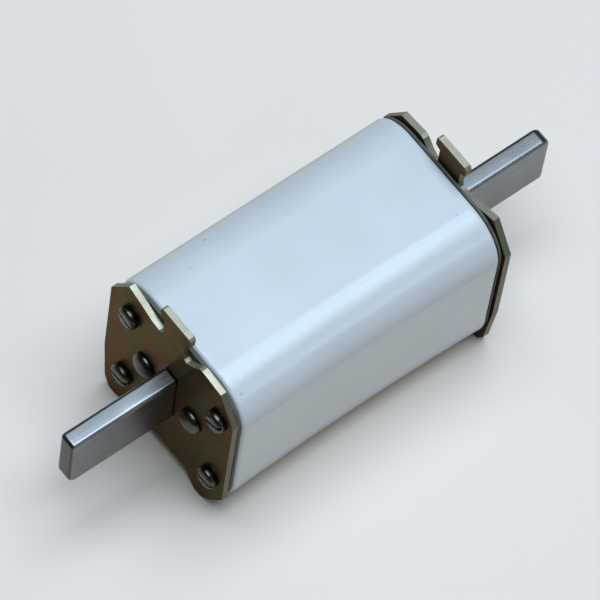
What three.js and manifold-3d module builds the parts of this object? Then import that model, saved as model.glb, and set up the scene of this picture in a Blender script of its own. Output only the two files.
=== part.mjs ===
// A size 0 knife-blade cartridge fuse: a porcelain tube filled with quartz sand, closed by two
// steel end plates, with a knife blade out of each end and the copper fuse elements inside.
// Millimetres. X runs along the fuse, Z is up, on the side of the gripping lugs, and the fuse
// stands on the feet of its end plates at Z = 0.
import * as THREE from 'three';
import { mergeVertices } from 'three/addons/utils/BufferGeometryUtils.js';
import Module from 'manifold-3d';

const wasm = await Module();
wasm.setup();

// ---- driving dimensions ----
const overallLength = 125; // blade tip to blade tip
const bodyLength = 71.8; // outer face to outer face of the end plates
const plateThickness = 1.5;
const gasketThickness = 0.9;
const gap = 0.3; // clearance kept between pieces that touch

const plateWide = 20.8; // from the blade's middle to the side of the plate at -Y
const plateNarrow = 19.9; // and at +Y: the die stands a little to one side
const plateFoot = -25.4; // heights are measured from the middle of the blades
const axisHeight = -plateFoot; // the blades' middle above the surface the fuse stands on

const bodyHalfWidth = 20.5;
const bodyTop = 21.4;
const bodyBottom = -22.3;
const topCornerRadius = 10;
const bottomCornerRadius = 9;
const bodyEdgeRound = 1.0; // at the rims of the porcelain
const sideHollow = 0.7; // how far one side wall sank in firing, at mid-length
const boreRadius = 14.8;

const lugMiddle = -0.6; // the lug stands over the middle of the plate, not of the blade
const lugNeckHalf = 3.4;
const lugHeadHalf = 4.8;
const lugHeadLow = 25.0;
const lugHeadTop = 28.5;

const bladeWidth = 16;
const bladeThickness = 4.2;
const bladeBevel = 0.85; // along both long edges
const bladeLeadRadius = 2; // at the corner that enters the clip first
const bladeCornerRadius = 0.9;
const tangWidth = 13.2;
const tangThickness = 2.5;
const upset = { length: 1.2, spread: 0.9, shortfall: 1 }; // the tang's end, swaged wider behind the disc

const discRadius = 13.6;
const discThickness = 3;

const screwPlaces = [[-13.8, -12.9], [-13.8, 12.1], [15.4, -12.9], [15.4, 12.1]]; // Y and Z
const screwHeadRadius = 2.7;
const screwHeadHeight = 1.6;
const screwRadius = 1.5;
const screwLength = 13;
const rivetY = 7.9;
const rivetHeadRadius = 3.0;
const rivetHeadHeight = 1.8;
const rivetRadius = 1.6;

const elementThickness = 0.4;
const elementWidth = 11;
const elementPlaces = [-9, -3, 3, 9]; // along Y
const notchPitch = 8;
const notchCount = 5;
const notchRadius = 1.5;

// ---- distances along X that follow from them ----
const plateOut = bodyLength / 2;
const plateIn = plateOut - plateThickness;
const bodyEnd = plateIn - gasketThickness;
const discOut = plateIn - gap;
const discIn = discOut - discThickness;
const sandEnd = discIn - 2 * gap - upset.length;
const bladeTip = overallLength / 2;

// ---- materials ----
const finish = (color, roughness, metalness) =>
  new THREE.MeshStandardMaterial({ color, roughness, metalness });
const porcelain = () => finish('#d6dfe6', 0.2, 0);
const chromatedSteel = () => finish('#6b5d45', 0.4, 0.9);
const fibre = () => finish('#56524a', 0.9, 0);
const tinnedCopper = () => finish('#a3a6ab', 0.35, 1);
const brass = () => finish('#b3924f', 0.4, 1);
const steel = () => finish('#9b9a94', 0.35, 1);
const copper = () => finish('#b4714a', 0.35, 1);
const tin = () => finish('#c3c6c8', 0.4, 1);
const sand = () => finish('#cfc4ab', 0.95, 0);

// ---- solids: three.js shapes, joined and cut by manifold ----
function solid(geometry) {
  const bare = geometry.index ? geometry.clone() : geometry;
  bare.deleteAttribute('normal');
  bare.deleteAttribute('uv');
  const merged = mergeVertices(bare, 1e-5);
  const vertProperties = new Float32Array(merged.attributes.position.array);
  const triVerts = new Uint32Array(merged.index.array);
  return new wasm.Manifold(new wasm.Mesh({ numProp: 3, vertProperties, triVerts }));
}

function geometryOf(manifold) {
  const mesh = manifold.getMesh();
  const geometry = new THREE.BufferGeometry();
  geometry.setAttribute('position', new THREE.BufferAttribute(mesh.vertProperties, 3));
  geometry.setIndex(new THREE.BufferAttribute(mesh.triVerts, 1));
  geometry.computeVertexNormals();
  return geometry;
}

function named(name, geometry, material) {
  const mesh = new THREE.Mesh(geometry, material);
  mesh.name = name;
  return mesh;
}

// A shape drawn in Y and Z, extruded from X = low to X = high.
function alongX(shape, low, high, options = {}) {
  const geometry = new THREE.ExtrudeGeometry(shape, {
    depth: high - low,
    bevelEnabled: false,
    curveSegments: 6,
    ...options,
  });
  geometry.applyMatrix4(new THREE.Matrix4().set(0, 0, 1, low, 1, 0, 0, 0, 0, 1, 0, 0, 0, 0, 0, 1));
  return geometry;
}

// A shape drawn in X and Z, extruded across Y about Y = 0.
function acrossY(shape, thickness) {
  const geometry = new THREE.ExtrudeGeometry(shape, {
    depth: thickness,
    bevelEnabled: false,
    curveSegments: 4,
  });
  geometry.rotateX(Math.PI / 2);
  geometry.translate(0, thickness / 2, 0);
  return geometry;
}

// A turned piece whose axis is X: [radius, x] pairs from end to end, the first and last on the axis.
function turned(profile, segments = 16) {
  const points = profile.map(([radius, x]) => new THREE.Vector2(radius, x));
  const geometry = new THREE.LatheGeometry(points, segments);
  geometry.rotateZ(-Math.PI / 2);
  return geometry;
}

function rod(radius, low, high, y = 0, z = 0, segments = 20) {
  const geometry = new THREE.CylinderGeometry(radius, radius, high - low, segments);
  geometry.rotateZ(Math.PI / 2);
  geometry.translate((low + high) / 2, y, z);
  return solid(geometry);
}

function block(low, high) {
  const [a, b] = [new THREE.Vector3(...low), new THREE.Vector3(...high)];
  const size = b.clone().sub(a);
  const geometry = new THREE.BoxGeometry(size.x, size.y, size.z);
  const middle = a.add(b).multiplyScalar(0.5);
  geometry.translate(middle.x, middle.y, middle.z);
  return solid(geometry);
}

function screwHoles(radius, low, high, end = 1) {
  return screwPlaces.map(([y, z]) => rod(radius, low, high, end * y, z, 16));
}

// ---- porcelain body ----
function bodyOutline(inset) {
  const half = bodyHalfWidth - inset;
  const top = bodyTop - inset;
  const bottom = bodyBottom + inset;
  const upper = topCornerRadius - inset;
  const lower = bottomCornerRadius - inset;
  const shape = new THREE.Shape();
  shape.moveTo(half - lower, bottom);
  shape.absarc(half - lower, bottom + lower, lower, -Math.PI / 2, 0, false);
  shape.absarc(half - upper, top - upper, upper, 0, Math.PI / 2, false);
  shape.absarc(-half + upper, top - upper, upper, Math.PI / 2, Math.PI, false);
  shape.absarc(-half + lower, bottom + lower, lower, Math.PI, 1.5 * Math.PI, false);
  shape.closePath();
  return shape;
}

function ceramicBody() {
  const extruded = bodyEnd - bodyEdgeRound;
  const geometry = alongX(bodyOutline(bodyEdgeRound), -extruded, extruded, {
    steps: 8,
    bevelEnabled: true,
    bevelThickness: bodyEdgeRound,
    bevelSize: bodyEdgeRound,
    bevelSegments: 2,
  });
  // The wall on the -Y side is hollow along its length.
  const place = geometry.attributes.position;
  for (let i = 0; i < place.count; i++) {
    const along = place.getX(i) / bodyEnd;
    const out = Math.max(0, -place.getY(i) / bodyHalfWidth);
    place.setY(i, place.getY(i) + sideHollow * (1 - along * along) * out * out);
  }
  let body = solid(geometry).subtract(rod(boreRadius, -bodyLength, bodyLength, 0, 0, 48));
  const holeEnd = bodyEnd - screwLength - 1;
  for (const [low, high, end] of [[-bodyLength, -holeEnd, -1], [holeEnd, bodyLength, 1]]) {
    for (const hole of screwHoles(screwRadius + gap, low, high, end)) {
      body = body.subtract(hole);
    }
  }
  return geometryOf(body);
}

// ---- end plate, drawn in Y and Z as seen from outside the fuse ----
const neckFillet = 1.2;
const headCorner = 0.6;
const archHeight = -21.2; // the raised stretch between the feet

// Half of the lug on one side of its middle, from the floor of the dip beside it to the top.
function lugHalf(side, floor) {
  const points = [
    [lugNeckHalf + neckFillet, floor],
    [lugNeckHalf + neckFillet * 0.3, floor + neckFillet * 0.3],
    [lugNeckHalf, floor + neckFillet],
    [lugNeckHalf, lugHeadLow],
    [lugHeadHalf, lugHeadLow + headCorner],
    [lugHeadHalf, lugHeadTop - headCorner],
    [lugHeadHalf - headCorner, lugHeadTop],
  ];
  return points.map(([y, z]) => [lugMiddle + side * y, z]);
}

// Counterclockwise from the arch: the foot, side, chamfer and shoulder at +Y, the lug, then -Y.
function plateOutline() {
  const points = [
    [7.9, archHeight],
    [11.4, plateFoot],
    [13.6, plateFoot],
    [16.0, -23.2],
    [plateNarrow, -17.2],
    [plateNarrow, 14.4],
    [15.0, 22.0],
    [8.7, 22.7],
    [7.8, 22.3],
    [6.2, 20.4],
    ...lugHalf(1, 18.8),
    ...lugHalf(-1, 19.0).reverse(),
    [-7.4, 19.3],
    [-11.6, 20.8],
    [-15.5, 22.0],
    [-plateWide, 14.0],
    [-plateWide, -10.5],
    [-19.6, -22.6],
    [-17.8, plateFoot],
    [-15.8, plateFoot],
    [-12.6, -23.2],
    [-8.6, archHeight],
  ];
  return new THREE.Shape(points.map(([y, z]) => new THREE.Vector2(y, z)));
}

function endPlate() {
  let plate = solid(alongX(plateOutline(), plateIn, plateOut));
  const slotY = tangThickness / 2 + gap;
  const slotZ = tangWidth / 2 + gap;
  plate = plate.subtract(block([plateIn - 1, -slotY, -slotZ], [plateOut + 1, slotY, slotZ]));
  for (const hole of screwHoles(screwRadius + gap, plateIn - 1, plateOut + 1)) {
    plate = plate.subtract(hole);
  }
  for (const side of [-1, 1]) {
    plate = plate.subtract(rod(rivetRadius + gap, plateIn - 1, plateOut + 1, side * rivetY, 0));
  }
  return geometryOf(plate);
}

// ---- gasket between the plate and the porcelain ----
const gasketInset = 0.5; // how far its edge stands inside the porcelain's outline

function gasket() {
  const low = bodyEnd + gap / 2;
  const high = plateIn - gap / 2;
  let sheet = solid(alongX(bodyOutline(gasketInset), low, high));
  sheet = sheet.subtract(rod(boreRadius, low - 1, high + 1, 0, 0, 32));
  for (const hole of screwHoles(screwRadius + gap, low - 1, high + 1)) {
    sheet = sheet.subtract(hole);
  }
  return geometryOf(sheet);
}

// ---- knife blade: bevelled blade, tang through plate and disc, end upset behind the disc ----
function bladeOutline(inset) {
  const low = -bladeWidth / 2 + inset;
  const high = bladeWidth / 2 - inset;
  const root = plateOut + gap;
  const tip = bladeTip - inset;
  const lead = bladeLeadRadius;
  const corner = bladeCornerRadius;
  const shape = new THREE.Shape();
  shape.moveTo(root, low);
  shape.lineTo(tip - corner, low);
  shape.absarc(tip - corner, low + corner, corner, -Math.PI / 2, 0, false);
  shape.absarc(tip - lead, high - lead, lead, 0, Math.PI / 2, false);
  shape.lineTo(root, high);
  shape.closePath();
  return shape;
}

// Half of the blade's thickness: the flat face is drawn in from the edge by the bevel.
function bladeSide(side) {
  const outer = bladeThickness / 2;
  const inner = outer - bladeBevel;
  const wide = bladeOutline(0).getPoints(6);
  const narrow = bladeOutline(bladeBevel).getPoints(6);
  const rings = [
    wide.map((p) => new THREE.Vector3(p.x, 0, p.y)),
    wide.map((p) => new THREE.Vector3(p.x, side * inner, p.y)),
    narrow.map((p) => new THREE.Vector3(p.x, side * outer, p.y)),
  ];
  return loft(rings, side > 0);
}

// Joins rings of equal point counts into one closed body with flat ends.
function loft(rings, flip) {
  const count = rings[0].length;
  const positions = rings.flat().flatMap((p) => [p.x, p.y, p.z]);
  const faces = [];
  const add = (a, b, c) => faces.push(...(flip ? [a, c, b] : [a, b, c]));
  for (let r = 0; r < rings.length - 1; r++) {
    for (let i = 0; i < count; i++) {
      const j = (i + 1) % count;
      const base = r * count;
      add(base + i, base + j, base + count + i);
      add(base + j, base + count + j, base + count + i);
    }
  }
  for (const [r, turn] of [[0, true], [rings.length - 1, false]]) {
    const flat = rings[r].map((p) => new THREE.Vector2(p.x, p.z));
    for (const [a, b, c] of THREE.ShapeUtils.triangulateShape(flat, [])) {
      const base = r * count;
      if (turn) {
        add(base + a, base + c, base + b);
      } else {
        add(base + a, base + b, base + c);
      }
    }
  }
  const geometry = new THREE.BufferGeometry();
  geometry.setAttribute('position', new THREE.Float32BufferAttribute(positions, 3));
  geometry.setIndex(faces);
  return geometry;
}

function knifeBlade() {
  const y = tangThickness / 2;
  const z = tangWidth / 2;
  const tang = block([discIn - gap, -y, -z], [plateOut + 1, y, z]);
  const back = discIn - gap;
  const [wide, high] = [y + upset.spread, z - upset.shortfall];
  const swaged = block([back - upset.length, -wide, -high], [back, wide, high]);
  const halves = solid(bladeSide(1)).add(solid(bladeSide(-1)));
  return geometryOf(halves.add(tang).add(swaged));
}

// ---- contact disc that the elements are welded to ----
function contactDisc() {
  let disc = rod(discRadius, discIn, discOut, 0, 0, 40);
  const slotY = tangThickness / 2 + gap;
  const slotZ = tangWidth / 2 + gap;
  disc = disc.subtract(block([discIn - 1, -slotY, -slotZ], [discOut + 1, slotY, slotZ]));
  for (const side of [-1, 1]) {
    disc = disc.subtract(rod(rivetRadius + gap, discIn - 1, discOut + 1, side * rivetY, 0));
  }
  return geometryOf(disc);
}

// A dome from a rim of the given radius up to the axis, as [radius, x] pairs.
function dome(radius, height, base) {
  const turns = [0, 0.2, 0.4, 0.6, 0.8].map((share) => (share * Math.PI) / 2);
  const ring = turns.map((turn) => [radius * Math.cos(turn), base + height * Math.sin(turn)]);
  return [...ring, [0, base + height]];
}

// ---- rivet through plate and disc ----
const rivetTail = { radius: 2.4, height: 0.8 };

function rivet() {
  const face = plateOut + gap;
  const back = discIn - gap;
  return turned([
    [0, back - rivetTail.height],
    [rivetTail.radius, back - rivetTail.height],
    [rivetTail.radius, back],
    [rivetRadius, back],
    [rivetRadius, face],
    ...dome(rivetHeadRadius, rivetHeadHeight, face),
  ]);
}

// ---- slotted pan-head screw into the porcelain ----
const screwRim = 0.5; // the straight stretch at the foot of the head
const screwPoint = 1.5;
const driveSlot = { halfWidth: 0.35, depth: 0.7 };

function coverScrew() {
  const face = plateOut + gap;
  const tip = bodyEnd - screwLength;
  const top = face + screwHeadHeight;
  const profile = [
    [0, tip],
    [screwRadius, tip + screwPoint],
    [screwRadius, face],
    [screwHeadRadius, face],
    ...dome(screwHeadRadius, screwHeadHeight - screwRim, face + screwRim),
  ];
  const reach = screwHeadRadius + 1;
  const { halfWidth, depth } = driveSlot;
  const slot = block([top - depth, -reach, -halfWidth], [top + depth, reach, halfWidth]);
  return geometryOf(solid(turned(profile)).subtract(slot));
}

// ---- fuse elements, their overload spots and the sand around them ----
function fuseElement() {
  const half = elementWidth / 2;
  const end = sandEnd;
  const shape = new THREE.Shape();
  const first = (-(notchCount - 1) / 2) * notchPitch;
  const places = Array.from({ length: notchCount }, (_, i) => first + i * notchPitch);
  shape.moveTo(-end, -half);
  for (const x of places) {
    shape.absarc(x, -half, notchRadius, Math.PI, 0, true);
  }
  shape.lineTo(end, -half);
  shape.lineTo(end, half);
  for (const x of places.toReversed()) {
    shape.absarc(x, half, notchRadius, 0, -Math.PI, true);
  }
  shape.lineTo(-end, half);
  shape.closePath();
  for (const x of places) {
    const hole = new THREE.Path();
    hole.absarc(x, 0, notchRadius, 0, 2 * Math.PI, true);
    shape.holes.push(hole);
  }
  return acrossY(shape, elementThickness);
}

const spot = { x: notchPitch / 2, length: 3, width: 6, thickness: 0.6 };

function overloadSpot() {
  const low = elementThickness / 2 + gap;
  const [x, z] = [spot.length / 2, spot.width / 2];
  return geometryOf(block([spot.x - x, low, -z], [spot.x + x, low + spot.thickness, z]));
}

function quartzSand() {
  let fill = rod(boreRadius - gap, -sandEnd + gap, sandEnd - gap, 0, 0, 40);
  const room = { y: elementThickness / 2 + gap, z: elementWidth / 2 + gap };
  const top = elementThickness / 2 + 2 * gap + spot.thickness;
  for (const y of elementPlaces) {
    const slot = block([-sandEnd, y - room.y, -room.z], [sandEnd, y + room.y, room.z]);
    const x = spot.length / 2 + gap;
    const z = spot.width / 2 + gap;
    const pocket = block([spot.x - x, y, -z], [spot.x + x, y + top, z]);
    fill = fill.subtract(slot).subtract(pocket);
  }
  return geometryOf(fill);
}

// ---- one end of the fuse, outward along its own +X ----
function fuseEnd(end, turn) {
  const group = new THREE.Group();
  group.rotation.z = turn;
  group.add(named(`end_plate_${end}`, endPlate(), chromatedSteel()));
  group.add(named(`gasket_${end}`, gasket(), fibre()));
  group.add(named(`contact_disc_${end}`, contactDisc(), brass()));
  const blade = named(`knife_blade_${end}`, knifeBlade(), tinnedCopper());
  // Both blades are one pattern, put in the other way up at the front.
  blade.rotation.x = turn;
  group.add(blade);
  for (const side of [-1, 1]) {
    const piece = named(`blade_rivet_${end}_${side < 0 ? 1 : 2}`, rivet(), steel());
    piece.position.y = side * rivetY;
    group.add(piece);
  }
  screwPlaces.forEach(([y, z], i) => {
    const piece = named(`cover_screw_${end}_${i + 1}`, coverScrew(), steel());
    piece.position.set(0, y, z);
    group.add(piece);
  });
  return group;
}

// ---- assembly ----
const group = new THREE.Group();
const fuse = new THREE.Group();
fuse.position.z = axisHeight;
group.add(fuse);
fuse.add(named('ceramic_body', ceramicBody(), porcelain()));
fuse.add(fuseEnd('front', Math.PI));
fuse.add(fuseEnd('rear', 0));
elementPlaces.forEach((y, i) => {
  const strip = named(`fuse_element_${i + 1}`, fuseElement(), copper());
  strip.position.y = y;
  fuse.add(strip);
  const pad = named(`overload_spot_${i + 1}`, overloadSpot(), tin());
  pad.position.y = y;
  fuse.add(pad);
});
fuse.add(named('quartz_sand', quartzSand(), sand()));

export default group;
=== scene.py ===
"""A size 0 knife-blade cartridge fuse: glazed porcelain tube, chromated end plates, plated blades.

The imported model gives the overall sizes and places. Lengths are in metres, and MM is one
millimetre. X runs along the fuse to its rear blade, Z is up, and the fuse stands on the feet of
its end plates at Z = 0.
"""

import math

import bmesh
import bpy
from mathutils import Matrix, Vector


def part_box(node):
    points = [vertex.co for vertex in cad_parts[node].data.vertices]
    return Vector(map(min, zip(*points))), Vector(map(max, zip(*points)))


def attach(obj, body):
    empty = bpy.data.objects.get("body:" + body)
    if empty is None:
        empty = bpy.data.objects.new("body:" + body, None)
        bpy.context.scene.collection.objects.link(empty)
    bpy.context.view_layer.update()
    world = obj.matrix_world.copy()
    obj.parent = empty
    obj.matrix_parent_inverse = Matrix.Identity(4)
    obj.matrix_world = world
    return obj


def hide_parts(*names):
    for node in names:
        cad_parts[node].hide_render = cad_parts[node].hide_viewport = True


MM = 0.001
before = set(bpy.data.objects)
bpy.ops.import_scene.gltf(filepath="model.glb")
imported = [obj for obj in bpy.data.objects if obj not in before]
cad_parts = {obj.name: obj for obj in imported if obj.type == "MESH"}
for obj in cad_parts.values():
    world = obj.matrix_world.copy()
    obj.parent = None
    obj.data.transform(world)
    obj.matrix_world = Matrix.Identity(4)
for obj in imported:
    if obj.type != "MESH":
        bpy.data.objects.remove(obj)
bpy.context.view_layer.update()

# ---- sizes read from the frame ----
BODY_LOW, BODY_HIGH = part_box("ceramic_body")
PLATE_LOW, PLATE_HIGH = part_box("end_plate_rear")
BLADE_LOW, BLADE_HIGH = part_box("knife_blade_rear")
AXIS_Z = (BLADE_LOW.z + BLADE_HIGH.z) / 2
PLATE_OUT = PLATE_HIGH.x
PLATE_THICKNESS = PLATE_HIGH.x - PLATE_LOW.x
CENTRE = Vector((0, 0, AXIS_Z))

# ---- sizes that the frame's boxes don't give ----
GAP = 0.3 * MM
TOP_CORNER = 10 * MM
BOTTOM_CORNER = 9 * MM
RIM_ROUND = 1.0 * MM
SIDE_HOLLOW = 0.7 * MM
BORE = 14.8 * MM
SCREW_HOLE = 1.8 * MM
SCREW_DEPTH = 14 * MM
# Y and Z of each cover screw on the rear plate, and how far its slot is turned from level.
SCREW_PLACES = (
    (-13.8 * MM, -12.9 * MM, 6),
    (-13.8 * MM, 12.1 * MM, -14),
    (15.4 * MM, -12.9 * MM, 0),
    (15.4 * MM, 12.1 * MM, 22),
)
RIVET_Y = 7.9 * MM
BLADE_THICKNESS = 4.2 * MM
BLADE_BEVEL = 0.85 * MM
LEAD_CORNER = 2.0 * MM
TAIL_CORNER = 0.9 * MM
TANG_WIDTH = 13.2 * MM
TANG_THICKNESS = 2.5 * MM
TANG_BACK = 30.8 * MM
UPSET_LENGTH = 1.2 * MM
UPSET_THICKNESS = 4.3 * MM
UPSET_WIDTH = 11.2 * MM
DISC_BACK = 31.1 * MM
PLATE_ROUND = 0.22 * MM
WALL_STATIONS = 15
HEAD_FACE = PLATE_OUT + GAP
RIVET_RADIUS = 3.0 * MM
RIVET_HEIGHT = 1.8 * MM
RIVET_SHANK = 1.6 * MM
SWAGE_RADIUS = 2.4 * MM
SWAGE_HEIGHT = 0.8 * MM
SCREW_RADIUS = 2.7 * MM
SCREW_HEIGHT = 1.6 * MM
SCREW_RIM = 1.05 * MM
SCREW_SHANK = 1.5 * MM
SCREW_BACK = 22 * MM
SCREW_POINT = 1.5 * MM
SLOT_HALF = 0.35 * MM
SLOT_DEPTH = 0.7 * MM
SLOT_ROUND = 0.07 * MM
# How near a point must be to a plane to count as on it.
NEAR = 0.01 * MM


# ---- colour and nodes ----
NOISE = "ShaderNodeTexNoise"
RAMP = "ShaderNodeValToRGB"
RANGE = "ShaderNodeMapRange"
MIX = "ShaderNodeMix"
BUMP = "ShaderNodeBump"
# A Mix node's sockets for colours go by number, as its sockets for numbers have the same names.
FIRST, SECOND, MIXED = 6, 7, 2


def colour(code):
    """An sRGB hex value as a linear colour with full alpha."""
    parts = [int(code[i : i + 2], 16) / 255 for i in (1, 3, 5)]
    linear = [p / 12.92 if p <= 0.04045 else ((p + 0.055) / 1.055) ** 2.4 for p in parts]
    return (*linear, 1.0)


def feed(tree, node, inputs):
    """Sets sockets, by name or number, to a number or hex colour, or links an output to them."""
    for key, value in inputs.items():
        if isinstance(value, bpy.types.NodeSocket):
            tree.links.new(value, node.inputs[key])
        else:
            node.inputs[key].default_value = colour(value) if isinstance(value, str) else value


def add(tree, kind, output, inputs, stops=(), **settings):
    """Adds a node and returns one of its outputs. stops are a ramp's places and hex colours."""
    node = tree.nodes.new(kind)
    for name, value in settings.items():
        setattr(node, name, value)
    feed(tree, node, inputs)
    if stops:
        elements = node.color_ramp.elements
        while len(elements) < len(stops):
            elements.new(0.5)
        for element, (position, code) in zip(elements, stops):
            element.position = position
            element.color = colour(code)
    return node.outputs[output]


def new_material(name):
    """A material with nothing but its shader and output, and the node tree they are in."""
    material = bpy.data.materials.new(name)
    material.use_nodes = True
    tree = material.node_tree
    tree.nodes.clear()
    shader = tree.nodes.new("ShaderNodeBsdfPrincipled")
    surface = tree.nodes.new("ShaderNodeOutputMaterial")
    tree.links.new(shader.outputs["BSDF"], surface.inputs["Surface"])
    return material, tree, shader


def object_place(tree, scale=(1, 1, 1)):
    """Object coordinates, stretched by scale."""
    place = add(tree, "ShaderNodeTexCoord", "Object", {})
    return add(tree, "ShaderNodeMapping", "Vector", {"Vector": place, "Scale": scale})


def facing(tree, axis, low, high):
    """0 to 1 as a face turns square to an axis, either way along it."""
    normal = add(tree, "ShaderNodeNewGeometry", "Normal", {})
    part = add(tree, "ShaderNodeSeparateXYZ", axis, {"Vector": normal})
    size = add(tree, "ShaderNodeMath", "Value", {0: part}, operation="ABSOLUTE")
    return add(tree, RANGE, "Result", {"Value": size, "From Min": low, "From Max": high})


# ---- materials ----
def glazed_porcelain():
    """Electrical porcelain, slip cast and glazed: an even cool white with a soft wet gloss."""
    material, tree, shader = new_material("glazed_porcelain")
    place = object_place(tree)
    cloud = add(tree, NOISE, "Fac", {"Vector": place, "Scale": 1 / (28 * MM), "Detail": 3})
    tone = add(tree, RAMP, "Color", {"Fac": cloud}, stops=((0.3, "#bbbcbc"), (0.7, "#c3c4c4")))
    # Iron specks in the clay, a few tenths of a millimetre across, and few of them.
    speck = add(tree, NOISE, "Fac", {"Vector": place, "Scale": 1 / (1.3 * MM), "Detail": 0})
    iron = add(
        tree,
        RANGE,
        "Result",
        {"Value": speck, "From Min": 0.875, "From Max": 0.91, "To Max": 0.5},
    )
    tone = add(tree, MIX, MIXED, {0: iron, FIRST: tone, SECOND: "#857c70"}, data_type="RGBA")
    # Handling marks: soft patches where the glaze is duller.
    smear = add(tree, NOISE, "Fac", {"Vector": place, "Scale": 1 / (12 * MM)})
    gloss = add(
        tree,
        RANGE,
        "Result",
        {"Value": smear, "From Min": 0.35, "From Max": 0.7, "To Min": 0.18, "To Max": 0.24},
    )
    # Slow waves from casting, and a fine orange peel in the glaze.
    waves = add(tree, NOISE, "Fac", {"Vector": place, "Scale": 1 / (16 * MM)})
    peel = add(tree, NOISE, "Fac", {"Vector": place, "Scale": 1 / (2.5 * MM), "Detail": 1})
    normal = add(tree, BUMP, "Normal", {"Height": waves, "Distance": 0.05 * MM})
    normal = add(
        tree, BUMP, "Normal", {"Height": peel, "Distance": 0.002 * MM, "Normal": normal}
    )
    feed(tree, shader, {"Base Color": tone, "Roughness": gloss, "Normal": normal, "IOR": 1.45})
    return material


def chromated_zinc():
    """Zinc plate dipped in yellow chromate: an olive film that drifts to red, green and violet.

    The blanked edges took less of it, so they are paler. The edges that face up also carry a
    painted highlight in pale cream.
    """
    material, tree, shader = new_material("chromated_zinc")
    place = object_place(tree)
    drift = add(
        tree, NOISE, "Fac", {"Vector": place, "Scale": 1 / (10 * MM), "Distortion": 1.0}
    )
    film = add(
        tree,
        RAMP,
        "Color",
        {"Fac": drift},
        stops=(
            (0.30, "#434a3d"),
            (0.42, "#56513e"),
            (0.50, "#5b4d40"),
            (0.60, "#6a463b"),
            (0.70, "#584d4f"),
        ),
    )
    patch = add(
        tree,
        NOISE,
        "Fac",
        {"Vector": place, "Scale": 1 / (4 * MM), "Detail": 3, "Roughness": 0.6},
    )
    thin = add(
        tree, RANGE, "Result", {"Value": patch, "From Min": 0.35, "From Max": 0.7, "To Max": 0.55}
    )
    film = add(tree, MIX, MIXED, {0: thin, FIRST: film, SECOND: "#544d3d"}, data_type="RGBA")
    specks = add(
        tree,
        NOISE,
        "Fac",
        {"Vector": place, "Scale": 1 / (1.2 * MM), "Detail": 4, "Roughness": 0.7},
    )
    grime = add(
        tree, RANGE, "Result", {"Value": specks, "From Min": 0.55, "From Max": 0.75, "To Max": 0.5}
    )
    film = add(tree, MIX, MIXED, {0: grime, FIRST: film, SECOND: "#2a261f"}, data_type="RGBA")
    # Painted highlight: the edges that face up are painted pale cream, where the light from above
    # falls on them.
    painted_top_highlight = add(
        tree, MIX, MIXED, {0: patch, FIRST: "#aaa38f", SECOND: "#7d7763"}, data_type="RGBA"
    )
    lit_from_above_mask = facing(tree, "Z", 0.55, 0.9)
    # Edge tone, with the painted highlight mixed in on the edges that face up.
    edge_tone_and_highlight = add(tree, MIX, MIXED, {0: lit_from_above_mask, FIRST: "#5f5b4a", SECOND: painted_top_highlight}, data_type="RGBA")
    face = facing(tree, "X", 0.45, 0.85)
    film = add(tree, MIX, MIXED, {0: face, FIRST: edge_tone_and_highlight, SECOND: film}, data_type="RGBA")
    gloss = add(
        tree,
        RANGE,
        "Result",
        {"Value": patch, "From Min": 0.3, "From Max": 0.7, "To Min": 0.28, "To Max": 0.42},
    )
    dents = add(tree, NOISE, "Fac", {"Vector": place, "Scale": 1 / (7 * MM)})
    # The rolled sheet's grain runs along Y, a millimetre long and an eighth of that apart.
    along = object_place(tree, (1, 1, 8))
    grain = add(tree, NOISE, "Fac", {"Vector": along, "Scale": 1 / (1.0 * MM), "Detail": 3})
    normal = add(tree, BUMP, "Normal", {"Height": dents, "Distance": 0.12 * MM})
    normal = add(
        tree, BUMP, "Normal", {"Height": grain, "Distance": 0.006 * MM, "Normal": normal}
    )
    # Sheared zinc is rough and dull, so the edges scatter the light that the faces mirror.
    mirror = add(tree, RANGE, "Result", {"Value": face, "To Min": 0.4})
    feed(tree, shader, {"Base Color": film, "Roughness": gloss, "Normal": normal})
    # The film soaks up light that glances off, so the plate doesn't whiten towards its limb.
    feed(tree, shader, {"Metallic": mirror, "Specular Tint": "#cec4b4"})
    return material


def ceramic_fibre():
    """Ceramic fibre paper, stamped: dark grey and matt, a dark line round the porcelain's ends."""
    material, tree, shader = new_material("ceramic_fibre")
    fibres = add(
        tree,
        NOISE,
        "Fac",
        {
            "Vector": object_place(tree, (6, 1, 1)),
            "Scale": 1 / (1.5 * MM),
            "Detail": 4,
            "Roughness": 0.6,
        },
    )
    tone = add(tree, RAMP, "Color", {"Fac": fibres}, stops=((0.3, "#4a463f"), (0.7, "#5e5a51")))
    normal = add(tree, BUMP, "Normal", {"Height": fibres, "Distance": 0.05 * MM})
    feed(tree, shader, {"Base Color": tone, "Roughness": 0.9, "Normal": normal})
    return material


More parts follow.
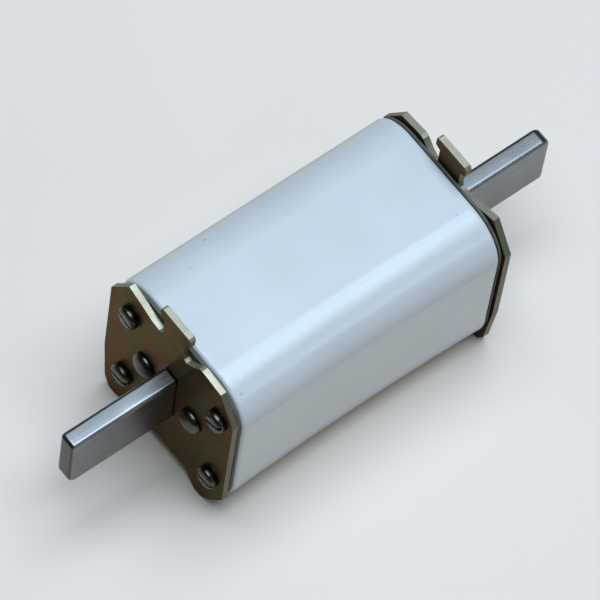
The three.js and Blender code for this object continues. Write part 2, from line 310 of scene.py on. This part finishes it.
def plated_copper():
    """Copper blade with a barrel-plated grey coat: satin, with faint draw lines along its length.

    The sheared ends are brown, where the coat is thin and the copper has tarnished.
    """
    material, tree, shader = new_material("plated_copper")
    place = object_place(tree)
    cloud = add(tree, NOISE, "Fac", {"Vector": place, "Scale": 1 / (9 * MM), "Detail": 3})
    tone = add(tree, RAMP, "Color", {"Fac": cloud}, stops=((0.3, "#6c6c6c"), (0.7, "#7b7b7b")))
    # The die's draw lines run along X, half a millimetre apart.
    lines = add(
        tree,
        NOISE,
        "Fac",
        {
            "Vector": object_place(tree, (0.03, 1, 1)),
            "Scale": 1 / (0.5 * MM),
            "Detail": 3,
            "Roughness": 0.6,
        },
    )
    gloss = add(
        tree,
        RANGE,
        "Result",
        {"Value": lines, "From Min": 0.3, "From Max": 0.7, "To Min": 0.26, "To Max": 0.36},
    )
    worn = add(
        tree, RANGE, "Result", {"Value": lines, "From Min": 0.4, "From Max": 0.7, "To Max": 0.3}
    )
    tone = add(tree, MIX, MIXED, {0: worn, FIRST: tone, SECOND: "#686766"}, data_type="RGBA")
    end = facing(tree, "X", 0.45, 0.85)
    tone = add(tree, MIX, MIXED, {0: end, FIRST: tone, SECOND: "#3b3230"}, data_type="RGBA")
    normal = add(tree, BUMP, "Normal", {"Height": lines, "Distance": 0.008 * MM})
    normal = add(
        tree, BUMP, "Normal", {"Height": cloud, "Distance": 0.03 * MM, "Normal": normal}
    )
    feed(tree, shader, {"Base Color": tone, "Roughness": gloss, "Normal": normal, "Metallic": 1})
    return material


def tarnished_zinc():
    """Steel heads, cold formed and zinc plated, gone dull: grey, and bright where they glint."""
    material, tree, shader = new_material("tarnished_zinc")
    place = object_place(tree)
    cloud = add(tree, NOISE, "Fac", {"Vector": place, "Scale": 1 / (2.5 * MM), "Detail": 3})
    tone = add(tree, RAMP, "Color", {"Fac": cloud}, stops=((0.35, "#46433f"), (0.65, "#5d5954")))
    normal = add(tree, BUMP, "Normal", {"Height": cloud, "Distance": 0.03 * MM})
    feed(tree, shader, {"Base Color": tone, "Roughness": 0.3, "Normal": normal, "Metallic": 1})
    return material


def turned_brass():
    """Brass bar, faced on a lathe: yellow, with fine rings about the fuse's axis."""
    material, tree, shader = new_material("turned_brass")
    place = add(tree, "ShaderNodeTexCoord", "Object", {})
    place = add(
        tree, "ShaderNodeMapping", "Vector", {"Vector": place, "Location": (0, 0, -AXIS_Z)}
    )
    rings = add(
        tree,
        "ShaderNodeTexWave",
        "Fac",
        {"Vector": place, "Scale": 1 / (4 * MM), "Distortion": 0.6, "Detail": 2},
        wave_type="RINGS",
        rings_direction="X",
    )
    tone = add(tree, RAMP, "Color", {"Fac": rings}, stops=((0.0, "#a8864a"), (1.0, "#c3a163")))
    normal = add(tree, BUMP, "Normal", {"Height": rings, "Distance": 0.01 * MM})
    feed(tree, shader, {"Base Color": tone, "Roughness": 0.3, "Normal": normal, "Metallic": 1})
    return material


def rolled_copper():
    """Copper strip, cold rolled: reddish, with roll lines along its length and brown tarnish."""
    material, tree, shader = new_material("rolled_copper")
    along = object_place(tree, (0.04, 1, 1))
    lines = add(tree, NOISE, "Fac", {"Vector": along, "Scale": 1 / (0.4 * MM), "Detail": 3})
    place = object_place(tree)
    tarnish = add(tree, NOISE, "Fac", {"Vector": place, "Scale": 1 / (6 * MM), "Detail": 3})
    tone = add(
        tree, RAMP, "Color", {"Fac": tarnish}, stops=((0.35, "#8f5a3c"), (0.65, "#c08058"))
    )
    normal = add(tree, BUMP, "Normal", {"Height": lines, "Distance": 0.006 * MM})
    feed(tree, shader, {"Base Color": tone, "Roughness": 0.32, "Normal": normal, "Metallic": 1})
    return material


def tin_solder():
    """Tin, melted on and left to freeze: pale grey with a soft frosty grain."""
    material, tree, shader = new_material("tin_solder")
    frost = add(
        tree,
        NOISE,
        "Fac",
        {
            "Vector": object_place(tree),
            "Scale": 1 / (0.8 * MM),
            "Detail": 4,
            "Roughness": 0.7,
        },
    )
    tone = add(tree, RAMP, "Color", {"Fac": frost}, stops=((0.3, "#a9acae"), (0.7, "#cfd1d2")))
    normal = add(tree, BUMP, "Normal", {"Height": frost, "Distance": 0.03 * MM})
    feed(tree, shader, {"Base Color": tone, "Roughness": 0.4, "Normal": normal, "Metallic": 1})
    return material


def packed_quartz():
    """Quartz sand, vibrated in: pale grains about half a millimetre across, tan to white."""
    material, tree, shader = new_material("packed_quartz")
    inputs = {"Vector": object_place(tree), "Scale": 1 / (0.5 * MM)}
    shade = add(tree, "ShaderNodeTexVoronoi", "Color", inputs)
    grains = shade.node.outputs["Distance"]
    tone = add(tree, RAMP, "Color", {"Fac": shade}, stops=((0.2, "#b3a483"), (0.8, "#e3dccb")))
    normal = add(tree, BUMP, "Normal", {"Height": grains, "Distance": 0.15 * MM})
    feed(tree, shader, {"Base Color": tone, "Roughness": 0.75, "Normal": normal})
    return material


# ---- modelling helpers ----
def pick_only(*objects):
    """Selects these objects and no others, and makes the first active."""
    bpy.ops.object.select_all(action="DESELECT")
    for item in objects:
        item.select_set(True)
    bpy.context.view_layer.objects.active = objects[0]


def cube(name, low, high):
    """A box between two corners, with its place in its mesh."""
    pick_only(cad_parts["ceramic_body"])
    middle = (low + high) / 2
    bpy.ops.mesh.primitive_cube_add(size=1, location=middle, scale=high - low)
    piece = bpy.context.active_object
    piece.name = name
    bpy.ops.object.transform_apply(location=True, rotation=True, scale=True)
    return piece


def rod(name, radius, low, high, y=0.0, z=AXIS_Z, sides=96):
    """A cylinder along X from low to high, with its place in its mesh."""
    pick_only(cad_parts["ceramic_body"])
    bpy.ops.mesh.primitive_cylinder_add(
        vertices=sides,
        radius=radius,
        depth=high - low,
        location=((low + high) / 2, y, z),
        rotation=(0, math.pi / 2, 0),
    )
    piece = bpy.context.active_object
    piece.name = name
    bpy.ops.object.transform_apply(location=True, rotation=True, scale=True)
    return piece


def pick(piece, kind, wanted):
    """In edit mode, selects only the verts, edges or faces of the piece that wanted says yes to."""
    mode = {"verts": "VERT", "edges": "EDGE", "faces": "FACE"}[kind]
    bpy.ops.mesh.select_mode(type=mode)
    bpy.ops.mesh.select_all(action="DESELECT")
    shape = bmesh.from_edit_mesh(piece.data)
    for element in getattr(shape, kind):
        if wanted(element):
            element.select_set(True)
    bmesh.update_edit_mesh(piece.data)


def edge_runs(edge, axis):
    """True if an edge runs along axis 0, 1 or 2."""
    a, b = (v.co for v in edge.verts)
    run = b - a
    return abs(run[axis]) > 0.999 * run.length


def edge_middle(edge):
    """The point halfway along an edge."""
    return (edge.verts[0].co + edge.verts[1].co) / 2


def cut_away(piece, cutters):
    """Subtracts each cutter from the piece and deletes it."""
    for cutter in cutters:
        pick_only(piece)
        modifier = piece.modifiers.new("cut", "BOOLEAN")
        modifier.operation = "DIFFERENCE"
        modifier.solver = "EXACT"
        modifier.object = cutter
        bpy.ops.object.modifier_apply(modifier=modifier.name)
        bpy.data.objects.remove(cutter)


def round_edges(piece, width, segments, angle):
    """A bevel on every edge sharper than angle."""
    pick_only(piece)
    modifier = piece.modifiers.new("round", "BEVEL")
    modifier.width = width
    modifier.segments = segments
    modifier.limit_method = "ANGLE"
    modifier.angle_limit = math.radians(angle)
    bpy.ops.object.modifier_apply(modifier=modifier.name)


def smooth(piece, angle=35):
    """Shades rounded edges smoothly and lets the large flat faces stay flat."""
    pick_only(piece)
    bpy.ops.object.shade_smooth_by_angle(angle=math.radians(angle))
    modifier = piece.modifiers.new("flats", "WEIGHTED_NORMAL")
    modifier.keep_sharp = True
    modifier.weight = 100
    bpy.ops.object.modifier_apply(modifier=modifier.name)


def merged_copy(node, name):
    """A copy of a CAD node with its loose triangles merged and its flat faces joined up."""
    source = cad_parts[node]
    piece = bpy.data.objects.new(name, source.data.copy())
    bpy.context.scene.collection.objects.link(piece)
    piece.data.materials.clear()
    pick_only(piece)
    bpy.ops.object.mode_set(mode="EDIT")
    bpy.ops.mesh.select_all(action="SELECT")
    bpy.ops.mesh.remove_doubles(threshold=0.001 * MM)
    bpy.ops.mesh.dissolve_limited(angle_limit=math.radians(0.5))
    bpy.ops.object.mode_set(mode="OBJECT")
    return piece


def own_copy(piece, name, move=None):
    """A copy with its own mesh, moved by a matrix."""
    twin = bpy.data.objects.new(name, piece.data.copy())
    bpy.context.scene.collection.objects.link(twin)
    if move is not None:
        twin.data.transform(move)
    return twin


def settle(piece, material, slot, *nodes):
    """Gives a finished piece its material, and puts it in the place of CAD nodes; the slot argument
    is not used.
    """
    piece.data.materials.clear()
    piece.data.materials.append(material)
    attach(piece, "root")
    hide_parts(*nodes)


def turn_about(axis, angle):
    """A turn by angle about an axis through the middle of the fuse."""
    there = Matrix.Translation(CENTRE)
    return there @ Matrix.Rotation(angle, 4, axis) @ there.inverted()


# ---- porcelain body ----
def porcelain_body():
    """The tube: rounded corners and rims, one wall drawn in, and the bore and screw holes cut."""
    body = cube("porcelain_body", BODY_LOW, BODY_HIGH)
    bpy.ops.object.mode_set(mode="EDIT")
    for above, radius in ((True, TOP_CORNER), (False, BOTTOM_CORNER)):
        pick(body, "edges", lambda e: edge_runs(e, 0) and (edge_middle(e).z > AXIS_Z) == above)
        bpy.ops.mesh.bevel(offset=radius, segments=20, profile=0.5, affect="EDGES")
    end = BODY_HIGH.x
    pick(body, "edges", lambda e: all(abs(abs(v.co.x) - end) < GAP for v in e.verts))
    bpy.ops.mesh.bevel(offset=RIM_ROUND, segments=5, profile=0.5, affect="EDGES")
    hollow_side(body)
    bpy.ops.object.mode_set(mode="OBJECT")
    cut_away(body, body_cutters())
    smooth(body)
    return body


def hollow_side(body):
    """Draws the wall on the -Y side in along its length, most at the middle."""
    half = BODY_HIGH.x - RIM_ROUND
    steps = range(-WALL_STATIONS, WALL_STATIONS + 1)
    stations = [half * (i / (WALL_STATIONS + 1)) for i in steps]
    for x in stations:
        bpy.ops.mesh.select_all(action="SELECT")
        bpy.ops.mesh.bisect(plane_co=(x, 0, 0), plane_no=(1, 0, 0))
    for x in stations:
        sunk = SIDE_HOLLOW * (1 - (x / BODY_HIGH.x) ** 2)
        share = 1 - sunk / abs(BODY_LOW.y)
        pick(body, "verts", lambda v: abs(v.co.x - x) < NEAR and v.co.y < 0)
        bpy.ops.transform.resize(value=(1, share, 1), center_override=(x, 0, AXIS_Z))


def body_cutters():
    """The bore and the blind holes for the cover screws."""
    cutters = [rod("cutter", BORE, -2 * PLATE_OUT, 2 * PLATE_OUT)]
    for end in (-1, 1):
        low, high = sorted((end * (BODY_HIGH.x - SCREW_DEPTH), end * 2 * PLATE_OUT))
        for y, z, _ in SCREW_PLACES:
            cutters.append(rod("cutter", SCREW_HOLE, low, high, end * y, AXIS_Z + z, 24))
    return cutters


# ---- end plates ----
def end_plate(end):
    """The stamped plate with its sheared edges broken."""
    plate = merged_copy(f"end_plate_{end}", f"stamped_plate_{end}")
    round_edges(plate, PLATE_ROUND, 3, 20)
    smooth(plate)
    return plate


# ---- knife blades ----
def knife_blade():
    """The rear blade, with its tang through the plate."""
    root = PLATE_OUT + GAP
    half = BLADE_THICKNESS / 2
    low = Vector((root, -half, BLADE_LOW.z))
    high = Vector((BLADE_HIGH.x, half, BLADE_HIGH.z))
    blade = cube("blade_rear", low, high)
    bpy.ops.object.mode_set(mode="EDIT")
    for above, radius in ((True, LEAD_CORNER), (False, TAIL_CORNER)):
        pick(
            blade,
            "edges",
            lambda e: edge_runs(e, 1)
            and edge_middle(e).x > high.x - GAP
            and (edge_middle(e).z > AXIS_Z) == above,
        )
        bpy.ops.mesh.bevel(offset=radius, segments=12, profile=0.5, affect="EDGES")
    pick(
        blade,
        "edges",
        lambda e: abs(abs(edge_middle(e).y) - half) < NEAR
        and not edge_runs(e, 1)
        and edge_middle(e).x > root + NEAR,
    )
    bpy.ops.mesh.bevel(offset=BLADE_BEVEL, segments=4, profile=0.55, affect="EDGES")
    pick(blade, "faces", lambda f: f.normal.x < -0.99)
    thin = (1, TANG_THICKNESS / BLADE_THICKNESS, TANG_WIDTH / (BLADE_HIGH.z - BLADE_LOW.z))
    step(root, 0, thin)
    step(root, TANG_BACK - root, (1, 1, 1))
    thick = (1, UPSET_THICKNESS / TANG_THICKNESS, UPSET_WIDTH / TANG_WIDTH)
    step(TANG_BACK, 0, thick)
    step(TANG_BACK, -UPSET_LENGTH, (1, 1, 1))
    bpy.ops.object.mode_set(mode="OBJECT")
    smooth(blade)
    return blade


def step(x, travel, share):
    """Extrudes the selected flat face at x by travel along X, then scales it about the axis."""
    bpy.ops.mesh.extrude_region_move(TRANSFORM_OT_translate={"value": (travel, 0, 0)})
    if share != (1, 1, 1):
        bpy.ops.transform.resize(value=share, center_override=(x + travel, 0, AXIS_Z))


# ---- rivets and screws, modelled once on the axis of the rear plate ----
def shank(piece, radius, shank_radius, back, tip=0.0):
    """Draws a head's flat back down to a shank, and the shank back to a plain or pointed end."""
    pick(piece, "faces", lambda f: f.normal.x < -0.99)
    share = shank_radius / radius
    step(HEAD_FACE, 0, (1, share, share))
    step(HEAD_FACE, back - HEAD_FACE, (1, 1, 1))
    if tip:
        step(back, -tip, (1, 0.2, 0.2))


def blade_rivet():
    """A round-head rivet whose far end is swaged flat behind the contact disc."""
    rivet = dome("rivet", RIVET_RADIUS, RIVET_HEIGHT)
    bpy.ops.object.mode_set(mode="EDIT")
    shank(rivet, RIVET_RADIUS, RIVET_SHANK, DISC_BACK)
    share = SWAGE_RADIUS / RIVET_SHANK
    step(DISC_BACK, 0, (1, share, share))
    step(DISC_BACK, -SWAGE_HEIGHT, (1, 0.9, 0.9))
    bpy.ops.object.mode_set(mode="OBJECT")
    smooth(rivet)
    return rivet


def dome(name, radius, height):
    """Half of a squashed ball with a flat back."""
    pick_only(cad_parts["ceramic_body"])
    bpy.ops.mesh.primitive_uv_sphere_add(
        segments=40, ring_count=24, radius=1, location=(HEAD_FACE, 0, AXIS_Z)
    )
    piece = bpy.context.active_object
    piece.name = name
    piece.rotation_euler.y = math.pi / 2
    piece.scale = (radius, radius, height)
    bpy.ops.object.transform_apply(location=True, rotation=True, scale=True)
    bpy.ops.object.mode_set(mode="EDIT")
    bpy.ops.mesh.select_all(action="SELECT")
    bpy.ops.mesh.bisect(
        plane_co=(HEAD_FACE, 0, AXIS_Z), plane_no=(1, 0, 0), clear_inner=True, use_fill=True
    )
    bpy.ops.object.mode_set(mode="OBJECT")
    return piece


def cover_screw():
    """A slotted pan head with a rounded rim, on a shank that ends in a point."""
    top = HEAD_FACE + SCREW_HEIGHT
    screw = rod("screw", SCREW_RADIUS, HEAD_FACE, top, sides=48)
    bpy.ops.object.mode_set(mode="EDIT")
    pick(screw, "edges", lambda e: all(abs(v.co.x - top) < NEAR for v in e.verts))
    bpy.ops.mesh.bevel(offset=SCREW_RIM, segments=7, profile=0.5, affect="EDGES")
    shank(screw, SCREW_RADIUS, SCREW_SHANK, SCREW_BACK, SCREW_POINT)
    bpy.ops.object.mode_set(mode="OBJECT")
    # The cutter is longer than the head is wide, and stands proud of it.
    reach = SCREW_RADIUS + 1 * MM
    low = Vector((top - SLOT_DEPTH, -reach, AXIS_Z - SLOT_HALF))
    high = Vector((top + SLOT_DEPTH, reach, AXIS_Z + SLOT_HALF))
    cut_away(screw, [cube("cutter", low, high)])
    round_edges(screw, SLOT_ROUND, 2, 40)
    smooth(screw)
    return screw


def put(piece, name, end, y=0.0, z=0.0, roll=0.0):
    """A copy of a piece moved to its place on one end, its own axis turned by roll degrees."""
    move = Matrix.Translation((0, y, z)) @ turn_about("X", math.radians(roll))
    if end == "front":
        move = turn_about("Z", math.pi) @ move
    return own_copy(piece, name, move)


# ---- camera, lights and floor ----
CAMERA_AZIMUTH = -46.6
CAMERA_ELEVATION = 61.3
CAMERA_ROLL = 9.91
CAMERA_DISTANCE = 1.366
CAMERA_LENS = 396.5
AIM_RIGHT = -1.30 * MM
AIM_UP = 0.58 * MM
DAYLIGHT = "#d5ebff"


def direction(azimuth, elevation):
    """The way from the fuse to a point seen at that azimuth and elevation, in degrees."""
    a, e = math.radians(azimuth), math.radians(elevation)
    return Vector((math.sin(a) * math.cos(e), -math.cos(a) * math.cos(e), math.sin(e)))


def camera():
    """A long lens that looks down on the front end, with a small roll."""
    data = bpy.data.cameras.new("camera")
    data.lens = CAMERA_LENS
    data.sensor_width = 36
    data.clip_start = 0.01
    data.clip_end = 20
    view = bpy.data.objects.new("camera", data)
    bpy.context.scene.collection.objects.link(view)
    back = direction(CAMERA_AZIMUTH, CAMERA_ELEVATION)
    roll = Matrix.Rotation(math.radians(CAMERA_ROLL), 3, "Z").to_quaternion()
    turn = back.to_track_quat("Z", "Y") @ roll
    aim = CENTRE + turn @ Vector((AIM_RIGHT, AIM_UP, 0))
    view.rotation_mode = "QUATERNION"
    view.rotation_quaternion = turn
    view.location = aim + back * CAMERA_DISTANCE
    bpy.context.scene.camera = view


def soft_light(name, azimuth, elevation, distance, size, power):
    """A softbox that faces the fuse, with its width and height in metres and its power in watts."""
    data = bpy.data.lights.new(name, "AREA")
    data.shape = "RECTANGLE"
    data.size, data.size_y = size
    data.energy = power
    data.color = colour(DAYLIGHT)[:3]
    light = bpy.data.objects.new(name, data)
    bpy.context.scene.collection.objects.link(light)
    back = direction(azimuth, elevation)
    light.location = CENTRE + back * distance
    light.rotation_mode = "QUATERNION"
    light.rotation_quaternion = back.to_track_quat("Z", "Y")


def studio():
    """A big cool softbox above, a thin one for the wet line on the glaze, and a weak warm fill."""
    soft_light("overhead_softbox", 75, 86, 1.4, (1.1, 1.1), 32.0)
    soft_light("side_strip", 26, 29, 0.9, (0.7, 0.05), 1.05)
    world = bpy.data.worlds.new("studio")
    bpy.context.scene.world = world
    world.use_nodes = True
    background = world.node_tree.nodes["Background"]
    background.inputs["Color"].default_value = colour("#fbeedd")
    background.inputs["Strength"].default_value = 0.08
    bpy.context.scene.view_settings.view_transform = "Standard"


def floor():
    """A matt pale table that the fuse stands on."""
    pick_only(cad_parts["ceramic_body"])
    bpy.ops.mesh.primitive_plane_add(size=12, location=(0, 0, 0))
    ground = bpy.context.active_object
    ground.name = "floor"
    material, tree, shader = new_material("matt_white_board")
    feed(tree, shader, {"Base Color": "#dccec1", "Roughness": 0.9})
    ground.data.materials.append(material)


# ---- putting it together ----
def main():
    """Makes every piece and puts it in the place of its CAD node."""
    camera()
    studio()
    floor()

    porcelain = glazed_porcelain()
    settle(porcelain_body(), porcelain, "porcelain", "ceramic_body")

    chromate = chromated_zinc()
    plating = plated_copper()
    zinc = tarnished_zinc()
    blade, rivet, screw = knife_blade(), blade_rivet(), cover_screw()
    for end in ("front", "rear"):
        settle(end_plate(end), chromate, "chromated_steel", f"end_plate_{end}")
        turn = turn_about("Y", math.pi) if end == "front" else None
        piece = own_copy(blade, f"blade_{end}", turn)
        settle(piece, plating, "blade_plating", f"knife_blade_{end}")
        for i, side in enumerate((-1, 1)):
            piece = put(rivet, f"rivet_{end}_{i + 1}", end, side * RIVET_Y)
            settle(piece, zinc, "fastener_steel", f"blade_rivet_{end}_{i + 1}")
        for i, (y, z, roll) in enumerate(SCREW_PLACES):
            piece = put(screw, f"screw_{end}_{i + 1}", end, y, z, roll)
            settle(piece, zinc, "fastener_steel", f"cover_screw_{end}_{i + 1}")
    for pattern in (blade, rivet, screw):
        bpy.data.objects.remove(pattern)

    # These CAD nodes have the right shape and need only their finish.
    kept = {
        "gasket": ceramic_fibre(),
        "contact_disc": turned_brass(),
        "fuse_element": rolled_copper(),
        "overload_spot": tin_solder(),
        "quartz_sand": packed_quartz(),
    }
    for name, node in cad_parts.items():
        for start, material in kept.items():
            if name.startswith(start):
                node.data.materials.clear()
                node.data.materials.append(material)


main()
